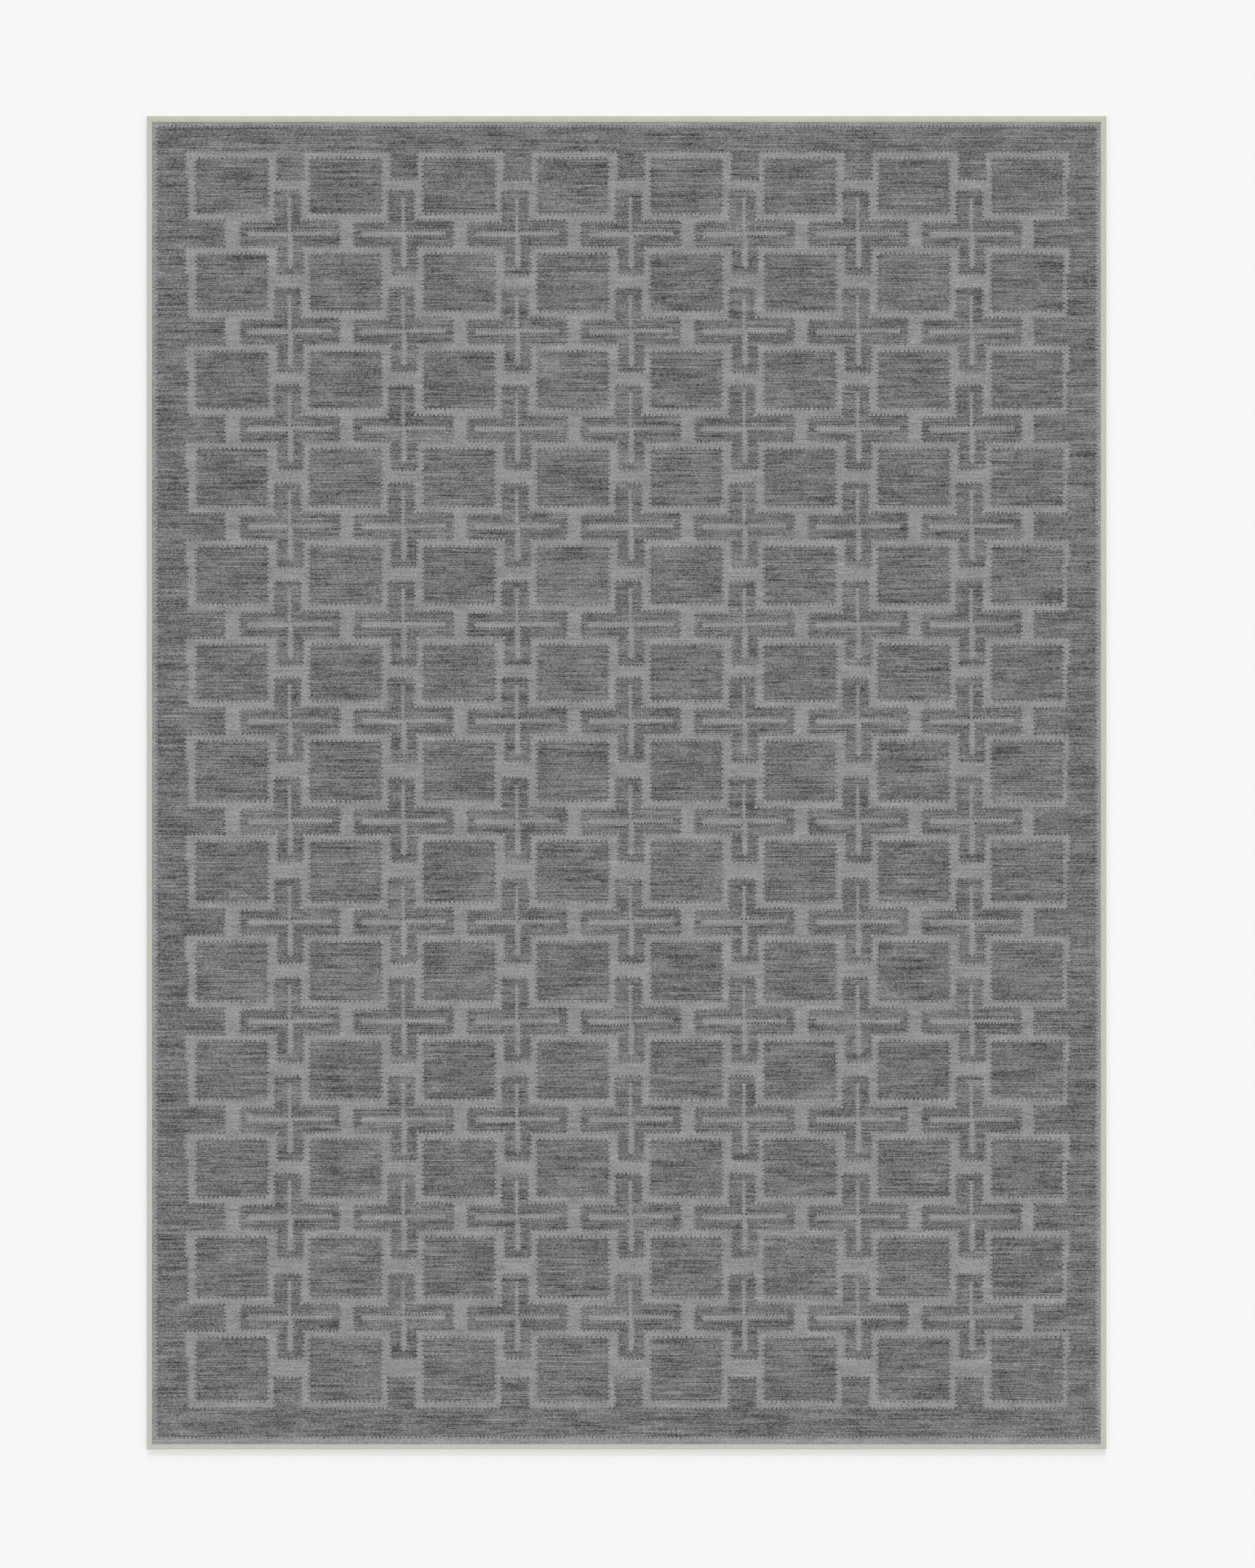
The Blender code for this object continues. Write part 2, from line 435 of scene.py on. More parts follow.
def latticeCorners(rows, crossPlaces):
    # round the light lattice, anticlockwise from its head left corner, with the margin's stubs
    corners = []
    last = len(rows) - 1
    for i, (head, barHead, barFoot, foot) in enumerate(rows):
        corners += [(pattern["left"][0], head), (pattern["left"][0], barHead)]
        corners += [(pattern["left"][1], barHead), (pattern["left"][1], foot)]
        if i < last:
            corners += [(pattern["stubs"][0], foot), (pattern["stubs"][0], rows[i + 1][0])]
    foot, barFoot = rows[last][3], rows[last][2]
    for x in crossPlaces:
        near, far = x + darkCross["up"][0], x + darkCross["up"][1]
        corners += [(near, foot), (near, barFoot), (far, barFoot), (far, foot)]
    for i in range(last, -1, -1):
        head, barHead, barFoot, foot = rows[i]
        corners += [(pattern["right"][1], foot), (pattern["right"][1], barHead)]
        corners += [(pattern["right"][0], barHead), (pattern["right"][0], head)]
        if i > 0:
            corners += [(pattern["stubs"][1], head), (pattern["stubs"][1], rows[i - 1][3])]
    head, barHead = rows[0][0], rows[0][1]
    for x in reversed(crossPlaces):
        near, far = x + darkCross["down"][1], x + darkCross["down"][0]
        corners += [(near, head), (near, barHead), (far, barHead), (far, head)]
    return corners


def boxCorners(left, right, head, foot):
    return [(left, head), (left, foot), (right, foot), (right, head)]


def insetBox(left, right, head, foot):
    # the rug's outline, drawn in by so much at each side
    return boxCorners(left - rugHalfWide, rugHalfWide - right, rugHalfLong - head, foot - rugHalfLong)


def toothed(corners, cut, rng):
    # small square teeth out of each side of an anticlockwise outline
    pitch, out, back, share = cut
    count = len(corners)
    sides = []
    for i in range(count):
        (ax, ay), (bx, by) = corners[i], corners[(i + 1) % count]
        long = math.hypot(bx - ax, by - ay)
        sides.append(((bx - ax) / long, (by - ay) / long))
    points = []
    for i in range(count):
        before, along, after = sides[i - 1], sides[i], sides[(i + 1) % count]
        outX, outY = along[1], -along[0]
        startX = corners[i][0] - back * (before[1] + along[1])
        startY = corners[i][1] + back * (before[0] + along[0])
        nextX, nextY = corners[(i + 1) % count]
        endX = nextX - back * (along[1] + after[1])
        endY = nextY + back * (along[0] + after[0])
        points.append((startX, startY))
        long = (endX - startX) * along[0] + (endY - startY) * along[1]
        # an inner corner needs room, or the teeth of its two sides would meet
        innerStart = before[0] * along[1] - before[1] * along[0] < 0
        innerEnd = along[0] * after[1] - along[1] * after[0] < 0
        first = (out + back) * innerStart
        room = long - first - (out + back) * innerEnd
        number = round(room / pitch)
        if number < 1 or room < 1.3 * pitch:
            continue
        step = room / number
        for j in range(number):
            middle = first + (j + 0.5) * step + rng.uniform(-0.09, 0.09) * step
            half = share * step / 2 * rng.uniform(0.8, 1.15)
            tip = (out + back) * rng.uniform(0.78, 1.12)
            for at, away in ((middle - half, 0), (middle - 0.8 * half, tip),
                             (middle + 0.8 * half, tip), (middle + half, 0)):
                points.append((startX + along[0] * at + outX * away,
                               startY + along[1] * at + outY * away))
    return points


def patternOutlines():
    # outlines, each with the number of its nest, in which light and dark take turns inwards
    rng = random.Random(pattern["seed"])
    rows = patternRows()
    crossPlaces = columnPlaces(pattern["columns"] - 1)
    outlines = [(0, insetBox(*(tape["cover"][side] + tape["clear"] for side in tape["sides"])))]
    outlines.append((0, toothed(insetBox(*pattern["bandIn"]), teeth["bars"], rng)))
    outlines.append((1, toothed(latticeCorners(rows, crossPlaces), teeth["bars"], rng)))
    for rowHead, barHead, barFoot, rowFoot in rows:
        for x in columnPlaces(pattern["columns"]):
            half = pattern["voidHalf"] + rng.uniform(-0.0006, 0.0006)
            top, bottom = rowHead - pattern["voidInHead"], rowFoot + pattern["voidInFoot"]
            box = boxCorners(x - half, x + half, top, bottom)
            outlines.append((1, toothed(box, teeth["voids"], rng)))
    for i in range(len(rows) - 1):
        y = rows[i][2] - pattern["crossRise"]
        for x in crossPlaces:
            # the cross reaches down to the next row's bar
            arms = dict(darkCross)
            arms["down"] = (*darkCross["down"][:2], rows[i + 1][1] - y)
            outlines.append((1, toothed(crossCorners(arms, x, y), teeth["bars"], rng)))
            light = toothed(crossCorners(lightCross, x, y), teeth["lightCross"], rng)
            outlines.append((len(outlines), light))
    return outlines


def fillTree():
    sockets = {"Geometry": "Geometry"}
    tree, get, put = newTree("fillOutlines", "GeometryNodeTree", sockets, sockets)
    curves = nodeOut(tree, "GeometryNodeMeshToCurve", {0: get[0]})
    nest = nodeOut(tree, "GeometryNodeInputNamedAttribute", {"Name": "nest"}, data_type="INT")
    filled = addNode(tree, "GeometryNodeFillCurve", {"Curve": curves, "Group ID": nest}, mode="TRIANGLES")
    filled = filled.outputs[0]
    tree.links.new(nodeOut(tree, "GeometryNodeRealizeInstances", {0: filled}), put[0])
    return tree


def flatFigure():
    # the whole lattice as one flat mesh, cut where the cloth's strips meet
    points, edges, nests = [], [], []
    for nest, outline in patternOutlines():
        start, count = len(points), len(outline)
        points += [(x, y, 0.0) for x, y in outline]
        edges += [(start + i, start + (i + 1) % count) for i in range(count)]
        nests += [nest] * count
    mesh = meshFrom("figureOutlines", points, [], edges)
    mesh.attributes.new("nest", "INT", "POINT").data.foreach_set("value", nests)
    flat = objectFrom("figureOutlines", mesh)
    addModifier(flat, fillTree(), {})
    settle(flat)
    cloth = bmesh.new()
    cloth.from_mesh(flat.data)
    for strip in range(1, weave["strips"]):
        everything = cloth.verts[:] + cloth.edges[:] + cloth.faces[:]
        bmesh.ops.bisect_plane(cloth, geom=everything, dist=1e-7, plane_co=(0, stripFoot(strip), 0),
                               plane_no=(0, 1, 0))
    cloth.to_mesh(flat.data)
    cloth.free()
    return flat


def stripFoot(strip):
    return firstRib() + strip * weave["ribsInStrip"] * weave["rowPitch"]


def figurePart(flat, strip):
    # the faces of the flat lattice that lie in one strip
    low, high = stripFoot(strip), stripFoot(strip + 1)
    part = bmesh.new()
    part.from_mesh(flat.data)
    others = [f for f in part.faces if not low < f.calc_center_median().y < high]
    bmesh.ops.delete(part, geom=others, context="FACES")
    bmesh.ops.triangulate(part, faces=part.faces)
    mesh = bpy.data.meshes.new("figurePart")
    part.to_mesh(mesh)
    part.free()
    return objectFrom("figurePart", mesh)


def slab(name, xs, ys, low, high):
    # a closed sheet: a grid on top, marked upper, over one flat underside
    across, up = len(xs), len(ys)
    points = [(x, y, high) for y in ys for x in xs]
    faces = []
    for j in range(up - 1):
        for i in range(across - 1):
            a = j * across + i
            faces.append((a, a + 1, a + across + 1, a + across))
    rim = list(range(across))
    rim += [j * across + across - 1 for j in range(1, up)]
    rim += [(up - 1) * across + i for i in range(across - 2, -1, -1)]
    rim += [j * across for j in range(up - 2, 0, -1)]
    base = len(points)
    points += [(*points[i][:2], low) for i in rim]
    count = len(rim)
    for i in range(count):
        j = (i + 1) % count
        faces.append((base + i, base + j, rim[j], rim[i]))
    faces.append(tuple(base + i for i in reversed(range(count))))
    mesh = meshFrom(name, points, faces)
    upper = mesh.attributes.new("upper", "FLOAT", "POINT")
    upper.data.foreach_set("value", [1.0] * base + [0.0] * count)
    return mesh


def clothTree():
    tree, get, put = newTree("wovenCloth", "GeometryNodeTree", {
        "Geometry": "Geometry",
        "Figure": "Object",
        "First Rib": 0.0,
        "Rib Pitch": 0.004,
        "Rib Height": 0.0005,
        "Rib Top": 0.008,
        "Pressed Top": 0.0067,
        "Half Width": 0.5,
        "Half Length": 0.5,
        "Cover": 0.009,
        "Slub": 0.3,
        "Wander": 0.0004,
        "Figure Low": 0.006,
        "Figure Top": 0.008,
        "Seed": 3.0,
        "Ground Finish": "Material",
        "Figure Finish": "Material",
    }, {"Geometry": "Geometry"})
    calc = partial(maths, tree)
    x, y, z = positionParts(tree, nodeOut(tree, "GeometryNodeInputPosition"))
    fromFirst = calc("SUBTRACT", y, get["First Rib"])
    woven = vectorOf(tree, x, fromFirst, z)
    turn = calc("ADD", calc("DIVIDE", fromFirst, get["Rib Pitch"]), 0.01)
    row = calc("FLOOR", turn)
    side = calc("ABSOLUTE", calc("SUBTRACT", calc("MULTIPLY", calc("FRACT", turn), 2.0), 1.0))
    crown = calc("SUBTRACT", 1.0, calc("POWER", side, 2.2))
    # each rib's own lumps, crown and sway
    lumps = vectorOf(tree, calc("MULTIPLY", x, 55.0), calc("MULTIPLY", row, 3.17), get["Seed"])
    lumps = calc("SUBTRACT", noiseAt(tree, lumps, detail=2.0), 0.6)
    thick = calc("ADD", 1.0, calc("MULTIPLY", lumps, get["Slub"]))
    sunk = calc("MULTIPLY", get["Rib Height"], calc("SUBTRACT", 1.0, calc("MULTIPLY", crown, thick)))
    # 0 under the tape and 1 in the open
    fromSide = calc("SUBTRACT", get["Half Width"], calc("ABSOLUTE", x))
    fromEnd = calc("SUBTRACT", get["Half Length"], calc("ABSOLUTE", y))
    inset = calc("MINIMUM", fromSide, fromEnd)
    free = ramp(tree, inset, calc("SUBTRACT", get["Cover"], 0.0004), calc("ADD", get["Cover"], 0.0022))
    rise = calc("SUBTRACT", calc("SUBTRACT", get["Rib Top"], sunk), get["Pressed Top"])
    height = calc("ADD", get["Pressed Top"], calc("MULTIPLY", free, rise))
    sway = vectorOf(tree, calc("MULTIPLY", x, 20.0), calc("MULTIPLY", row, 5.9), get["Seed"])
    sway = calc("SUBTRACT", noiseAt(tree, sway), 0.5)
    moved = calc("ADD", y, calc("MULTIPLY", sway, calc("MULTIPLY", get["Wander"], free)))
    marked = store(tree, get["Geometry"], "woven", woven, "FLOAT_VECTOR", "POINT")
    ribbed = addNode(tree, "GeometryNodeSetPosition", {
        "Geometry": marked, "Selection": upperOnly(tree), "Position": vectorOf(tree, x, moved, height)})
    ribbed = ribbed.outputs[0]
    ribbed = addNode(tree, "GeometryNodeSetMaterial", {"Geometry": ribbed, "Material": get["Ground Finish"]})
    # the lattice stands on the ribs as a closed layer
    flat = addNode(tree, "GeometryNodeObjectInfo", {"Object": get["Figure"]}).outputs["Geometry"]
    flat = store(tree, flat, "woven", woven, "FLOAT_VECTOR", "POINT")
    flat = nodeOut(tree, "GeometryNodeSetPosition", {
        "Geometry": flat, "Offset": vectorOf(tree, 0.0, 0.0, get["Figure Low"])})
    raised = addNode(tree, "GeometryNodeExtrudeMesh", {
        "Mesh": flat, "Offset": vectorOf(tree, 0.0, 0.0, 1.0),
        "Offset Scale": calc("SUBTRACT", get["Figure Top"], get["Figure Low"]),
        "Individual": False}, mode="FACES").outputs["Mesh"]
    under = nodeOut(tree, "GeometryNodeFlipFaces", {0: flat})
    both = tree.nodes.new("GeometryNodeJoinGeometry")
    tree.links.new(raised, both.inputs[0])
    tree.links.new(under, both.inputs[0])
    closed = addNode(tree, "GeometryNodeMergeByDistance", {"Geometry": both.outputs[0], "Distance": 1e-6})
    closed = addNode(tree, "GeometryNodeSetMaterial", {"Geometry": closed.outputs[0],
                                                       "Material": get["Figure Finish"]})
    whole = tree.nodes.new("GeometryNodeJoinGeometry")
    tree.links.new(closed.outputs[0], whole.inputs[0])
    tree.links.new(ribbed.outputs[0], whole.inputs[0])
    plain = addNode(tree, "GeometryNodeRealizeInstances", {0: whole.outputs[0]})
    tree.links.new(plain.outputs[0], put[0])
    return tree


def clothEdges(half, cells):
    # grid lines close together at the tape's edge, where the cloth is pressed down
    near = [half - inset for inset in (weave["inset"], 0.0085, 0.0095, 0.0105, 0.0116)]
    inner = half - 0.0145
    middle = [-inner + 2 * inner * i / cells for i in range(cells + 1)]
    return [-v for v in near] + middle + near[::-1]


def makeFaceCloth():
    ground, figure = clothFinish("groundYarn"), clothFinish("figureYarn")
    tree = clothTree()
    flat = flatFigure()
    xs = clothEdges(rugHalfWide, weave["columns"])
    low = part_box("face_cloth")[0].z
    sides = 0
    for strip in range(weave["strips"]):
        rows = weave["ribsInStrip"] * weave["rowsInRib"]
        foot = stripFoot(strip)
        ys = [foot + weave["rowPitch"] / weave["rowsInRib"] * j for j in range(rows + 1)]
        name = f"face_cloth_{strip + 1}"
        piece = objectFrom(name, slab(name, xs, ys, low, weave["ribTop"]))
        part = figurePart(flat, strip)
        addModifier(piece, tree, {
            "Figure": part, "First Rib": firstRib(), "Rib Pitch": weave["rowPitch"],
            "Rib Height": weave["ribHeight"], "Rib Top": weave["ribTop"],
            "Pressed Top": low + weave["pressed"], "Half Width": rugHalfWide, "Half Length": rugHalfLong,
            "Cover": weave["cover"], "Slub": weave["slub"], "Wander": weave["wander"],
            "Figure Low": weave["figureLow"], "Figure Top": weave["figureTop"], "Seed": weave["seed"],
            "Ground Finish": ground, "Figure Finish": figure,
        })
        mesh = settle(piece)
        bpy.data.objects.remove(part)
        smoothTop(mesh)
        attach(piece, "root")
        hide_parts("face_cloth")
        sides += len(mesh.polygons)
    bpy.data.objects.remove(flat)
    print("face cloth:", weave["strips"], "strips,", sides, "faces")


def smoothTop(mesh):
    mesh.shade_smooth()
    mesh.set_sharp_from_angle(angle=math.radians(55))


tape = {
    "sides": ("left", "right", "head", "foot"),
    "cover": {"left": 0.0088, "right": 0.0092, "head": 0.0098, "foot": 0.0082},  # over the face
    "clear": 0.00015,  # from its inner edge to the light figure
    "under": 0.0110,
    "thick": 0.0010,
    "top": 0.0080,
    "fold": 0.0014,  # outer radius of the two folds
    "foldSteps": 6,
    "innerSteps": 2,
    "edge": 0.0006,  # how far in its cut edges are rounded
    "stitchIn": 0.0023,  # from its inner edge to the stitches
    "groove": 0.0006,  # half the width that the stitches pull down
    "dip": 0.00018,  # how deep, on the upper side and on the under side
    "lowDip": 0.0003,
    "mitreGap": 0.00004,
    "length": 0.012,  # between two rings of points
    "waves": 5,
    "wave": 0.0002,
    "lift": 0.00012,
    "girthShare": 0.86,  # of its bake map's height, under the two mitred ends
    "colour": (0.471, 0.471, 0.408, 1.0),
    "seed": 5,
}


def arcSteps(steps):
    # (sine, cosine) of each step of a quarter turn
    turns = [math.pi / 2 * step / steps for step in range(steps + 1)]
    return [(math.sin(turn), math.cos(turn)) for turn in turns]


def tapeProfile(cover):
    # (inset, height) once round the folded tape's section, starting at its upper inner edge
    top, fold, thick, edge, groove = (tape[key] for key in ("top", "fold", "thick", "edge", "groove"))
    inner = fold - thick
    line = cover - tape["stitchIn"]
    outer, inside = arcSteps(tape["foldSteps"]), arcSteps(tape["innerSteps"])
    points = [(cover, top - edge), (cover - 0.00015, top - 0.0002), (cover - edge, top)]
    points += [(line + groove, top), (line, top - tape["dip"]), (line - groove, top), (0.4 * cover, top)]
    points += [(fold * (1 - sine), top - fold * (1 - cosine)) for sine, cosine in outer]
    points += [(fold * (1 - cosine), fold * (1 - sine)) for sine, cosine in outer]
    points += [(line - groove, 0.0), (line - groove / 2, tape["lowDip"])]
    points += [(line + groove / 2, tape["lowDip"]), (line + groove, 0.0)]
    points += [(tape["under"] - edge, 0.0), (tape["under"], edge / 2), (tape["under"], thick)]
    points += [(thick + inner * (1 - sine), thick + inner * (1 - cosine)) for sine, cosine in inside]
    points += [(thick + inner * (1 - cosine), top - thick - inner * (1 - sine)) for sine, cosine in inside]
    points.append((cover, top - thick))
    return points


def tapePoints(side, along, outward, halfAlong, halfAcross, neighbours, profile, rings):
    rng = random.Random(tape["seed"] + tape["sides"].index(side))
    waves = []
    for _ in range(tape["waves"]):
        waves.append((rng.uniform(8, 45), rng.uniform(0, math.tau), rng.uniform(0.3, 1.0)))
    slants = [tape["cover"][other] / tape["cover"][side] for other in neighbours]
    points = []
    for ring in range(rings):
        share = 2 * ring / (rings - 1) - 1
        for inset, height in profile:
            # mitred ends, which meet the neighbour tapes' ends on the upper side and the under side
            upper = height > tape["top"] / 2
            back = [inset * (slant if upper else 1.0) + tape["mitreGap"] for slant in slants]
            at = share * halfAlong + back[0] * (1 - share) / 2 - back[1] * (1 + share) / 2
            wave = sum(size * math.sin(turns * at + start) for turns, start, size in waves) / len(waves)
            wave *= min(1.0, 12 * (1 - abs(share)))  # calm at the ends
            out = halfAcross - inset - tape["wave"] * wave
            lift = tape["lift"] * wave if height > 0.002 else 0.0
            points.append((along[0] * at + outward[0] * out,
                           along[1] * at + outward[1] * out, height + lift))
    return points


def mapTape(mesh, profile, rings):
    # one band for the length of the tape, and its two mitred ends enlarged over it
    count = len(profile)
    girth = [0.0]
    for i in range(count):
        (a, b), (c, d) = profile[i], profile[(i + 1) % count]
        girth.append(girth[-1] + math.hypot(c - a, d - b))
    levels = [tape["girthShare"] * part / girth[-1] for part in girth]
    places = [0.005 + 0.99 * ring / (rings - 1) for ring in range(rings)]
    spots = [(10 * inset, 0.9 + 10 * height) for inset, height in reversed(profile)]
    spots += [(0.3 + 10 * inset, 0.9 + 10 * height) for inset, height in profile]
    for near, far in zip(places, places[1:]):
        for start, end in zip(levels, levels[1:]):
            spots += [(near, start), (near, end), (far, end), (far, start)]
    mesh.uv_layers.new(name="OFBake").data.foreach_set("uv", np.array(spots).ravel())


def makeTape(side, along, outward, halfAlong, halfAcross, neighbours, finish):
    profile = tapeProfile(tape["cover"][side])
    rings = math.ceil(2 * halfAlong / tape["length"]) + 1
    points = tapePoints(side, along, outward, halfAlong, halfAcross, neighbours, profile, rings)
    count = len(profile)
    faces = [tuple(reversed(range(count))), tuple(range((rings - 1) * count, rings * count))]
    for a in range(0, (rings - 1) * count, count):
        for i in range(count):
            j = (i + 1) % count
            faces.append((a + i, a + j, a + count + j, a + count + i))
    mesh = meshFrom(f"{side}_tape", points, faces)
    mesh.materials.append(finish)
    mapTape(mesh, profile, rings)
    smoothTop(mesh)
    piece = objectFrom(f"{side}_tape", mesh)
    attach(piece, "root")
    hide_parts(f"binding_{side}")


def tapeFinish():
    material, tree, shader, place = newMaterial("sageTape", 0.85, 0.25)
    fine = fibreTone(tree, place, 0.0007, 1.0)
    broad = fibreTone(tree, place, 0.02, 1.0)
    yarn = shade(tree, tape["colour"], toneSum(tree, (fine, 0.16), (broad, 0.06)))
    tree.links.new(yarn, shader.inputs["Base Color"])
    x, y, z = positionParts(tree, place)
    ribs = [maths(tree, "SINE", maths(tree, "MULTIPLY", v, 9000.0)) for v in (x, y)]
    bump(tree, shader, toneSum(tree, (maths(tree, "ADD", *ribs), 0.25), (fine, 1.5)), 0.00012, 0.6)
    return material


def makeBinding():
    finish = tapeFinish()
    makeTape("head", (-1, 0), (0, 1), rugHalfWide, rugHalfLong, ("right", "left"), finish)
    makeTape("foot", (1, 0), (0, -1), rugHalfWide, rugHalfLong, ("left", "right"), finish)
    makeTape("left", (0, -1), (-1, 0), rugHalfLong, rugHalfWide, ("head", "foot"), finish)
    makeTape("right", (0, 1), (1, 0), rugHalfLong, rugHalfWide, ("foot", "head"), finish)
    print("binding: four tapes")


stitch = {
    "length": 0.0040,
    "skew": 0.09,  # how far a stitch may turn out of the line, in radians
    "gap": 0.0007,
    "wide": 0.00048,
    "deep": 0.00034,
    "needleAt": 0.0080,  # height of the stitches' middle
    "bobbinAt": 0.00019,
    "colour": (0.450, 0.450, 0.392, 1.0),
}


def threadFinish():
    material, tree, shader, place = newMaterial("sageThread", 0.7, 0.3)
    twist = fibreTone(tree, place, 0.00035, 1.0)
    thread = shade(tree, stitch["colour"], toneSum(tree, (twist, 0.25)))
    tree.links.new(thread, shader.inputs["Base Color"])
    bump(tree, shader, twist, 0.0001, 0.6)
    return material


def stitchTree():
    tree, get, put = newTree("stitchRun", "GeometryNodeTree", {
        "Geometry": "Geometry",
        "Stitch": 0.004,
        "Gap": 0.0007,
        "Width": 0.0005,
        "Depth": 0.0003,
        "Skew": 0.09,
        "Seed": 4,
        "Finish": "Material",
    }, {"Geometry": "Geometry"})
    calc = partial(maths, tree)
    lines = nodeOut(tree, "GeometryNodeMeshToCurve", {0: get["Geometry"]})
    spots = nodeOut(tree, "GeometryNodeResampleCurve", {"Curve": lines, "Length": get["Stitch"]},
                    mode="LENGTH")
    along = nodeOut(tree, "GeometryNodeInputTangent")
    turned = nodeOut(tree, "FunctionNodeAlignRotationToVector", {"Vector": along}, axis="X")
    most = [vectorOf(tree, 0.0, 0.0, calc("MULTIPLY", get["Skew"], way)) for way in (-1.0, 1.0)]
    skew = nodeOut(tree, "FunctionNodeRandomValue", {"Min": most[0], "Max": most[1], "Seed": get["Seed"]},
                   data_type="FLOAT_VECTOR")
    turned = nodeOut(tree, "FunctionNodeRotateRotation", {0: turned, 1: skew})
    ball = addNode(tree, "GeometryNodeMeshUVSphere", {"Segments": 8, "Rings": 6, "Radius": 0.5}).outputs
    bead = store(tree, ball["Mesh"], "OFBake", ball["UV Map"], "FLOAT2", "CORNER")
    lying = {"Geometry": bead, "Rotation": (0, math.pi / 2, 0)}
    bead = nodeOut(tree, "GeometryNodeTransform", lying)
    size = vectorOf(tree, calc("SUBTRACT", get["Stitch"], get["Gap"]), get["Width"], get["Depth"])
    bead = nodeOut(tree, "GeometryNodeTransform", {"Geometry": bead, "Scale": size})
    bead = nodeOut(tree, "GeometryNodeSetShadeSmooth", {"Geometry": bead, "Shade Smooth": True})
    many = nodeOut(tree, "GeometryNodeInstanceOnPoints", {
        "Points": spots, "Instance": bead, "Rotation": turned})
    endTree(tree, many, get["Finish"], put)
    return tree


def makeStitches():
    tree, finish = stitchTree(), threadFinish()
    insets = {side: tape["cover"][side] - tape["stitchIn"] for side in tape["sides"]}
    left, right = insets["left"] - rugHalfWide, rugHalfWide - insets["right"]
    foot, head = insets["foot"] - rugHalfLong, rugHalfLong - insets["head"]
    short = stitch["length"] / 2
    for name, node, height, seed in (("needle_stitches", "needle_thread", stitch["needleAt"], 4),
                                     ("bobbin_stitches", "bobbin_thread", stitch["bobbinAt"], 9)):
        points = [
            (left + short, foot, height), (right - short, foot, height),
            (right, foot + short, height), (right, head - short, height),
            (right - short, head, height), (left + short, head, height),
            (left, head - short, height), (left, foot + short, height),
        ]
        piece = objectFrom(name, meshFrom(name, points, [], [(0, 1), (2, 3), (4, 5), (6, 7)]))
        addModifier(piece, tree, {
            "Stitch": stitch["length"], "Gap": stitch["gap"], "Width": stitch["wide"],
            "Depth": stitch["deep"], "Skew": stitch["skew"], "Seed": seed, "Finish": finish,
        })
        mesh = settle(piece)
        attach(piece, "root")
        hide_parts(node)
    print("stitches:", len(mesh.polygons), "faces in each run")


layers = {
    "inset": 0.0013,
    "relief": 0.00012,
    "lump": 0.03,
    "cell": 0.016,
    "felt": (0.090, 0.090, 0.096, 1.0),
    "scrim": (0.263, 0.243, 0.195, 1.0),
    "scrimPitch": 0.0024,
}
grip = {
    "inset": 0.0113,
    "low": 0.0005,  # the sheet's underside, from which the domes reach the floor
    "high": 0.0010,
    "domeGrid": 0.018,
    "rowShare": 0.866,  # of the grid, between two rows of domes
    "domeRadius": 0.0050,
    "domeFlat": 0.0042,
    "edgeRoom": 0.001,
    "colour": (0.033, 0.033, 0.034, 1.0),
    "wallRise": 0.3,  # how far up or down a wall's normal points at most
    "wallLean": 0.5,  # how far its foot leans out in the bake map, of its height
}
label = {
    "wide": 0.050,
    "long": 0.035,
    "fromSide": 0.120,
    "clear": 0.0015,
    "low": 0.0006,
    "high": 0.0010,
    "cell": 0.002,
    "relief": 0.00006,
    "lump": 0.012,
    "pitch": 0.0008,  # its weave
    "colour": (0.520, 0.520, 0.500, 1.0),
}


def layerFinish(name, colour, roughness, fibre, grainShare, bumpHeight, weavePitch=None):
    material, tree, shader, place = newMaterial(name, roughness, 0.2)
    fine = fibreTone(tree, place, fibre, 1.6)
    broad = fibreTone(tree, place, 0.03, 1.3)
    tones, relief = [(fine, grainShare), (broad, 0.3)], [(fine, 1.5)]
    if weavePitch:
        cells = useGroup(tree, "cells", {"Vector": place, "Warp Pitch": weavePitch, "Row Pitch": weavePitch,
                                         "Wander": weavePitch * 0.4})
        # the gaps between crossings darkened in colour: painted shade
        tones += [(cells["Gap"], -0.45), (cells["Tone"], 0.15), (cells["Turn"], 0.08)]
        relief.append((cells["Rise"], 0.8))
    tree.links.new(shade(tree, colour, toneSum(tree, *tones)), shader.inputs["Base Color"])
    bump(tree, shader, toneSum(tree, *relief), bumpHeight, 0.8)
    return material


def evenCuts(low, high, cell):
    count = math.ceil((high - low) / cell)
    return [low + (high - low) * i / count for i in range(count + 1)]


def layerTree():
    tree, get, put = newTree("softLayer", "GeometryNodeTree", {
        "Geometry": "Geometry",
        "Relief": 0.0001,
        "Lump": 0.03,
        "Seed": 1.0,
        "Finish": "Material",
    }, {"Geometry": "Geometry"})
    place = nodeOut(tree, "GeometryNodeInputPosition")
    place = nodeOut(tree, "ShaderNodeVectorMath", {0: place, 1: get["Lump"]}, operation="DIVIDE")
    place = nodeOut(tree, "ShaderNodeVectorMath", {0: place, 1: get["Seed"]}, operation="ADD")
    # only ever lower than the flat top
    least = maths(tree, "MULTIPLY", get["Relief"], -1.0)
    sunk = maths(tree, "MULTIPLY", noiseAt(tree, place, detail=2.0), least)
    waved = addNode(tree, "GeometryNodeSetPosition", {
        "Geometry": get["Geometry"], "Selection": upperOnly(tree), "Offset": vectorOf(tree, 0.0, 0.0, sunk)})
    endTree(tree, waved.outputs[0], get["Finish"], put)
    return tree


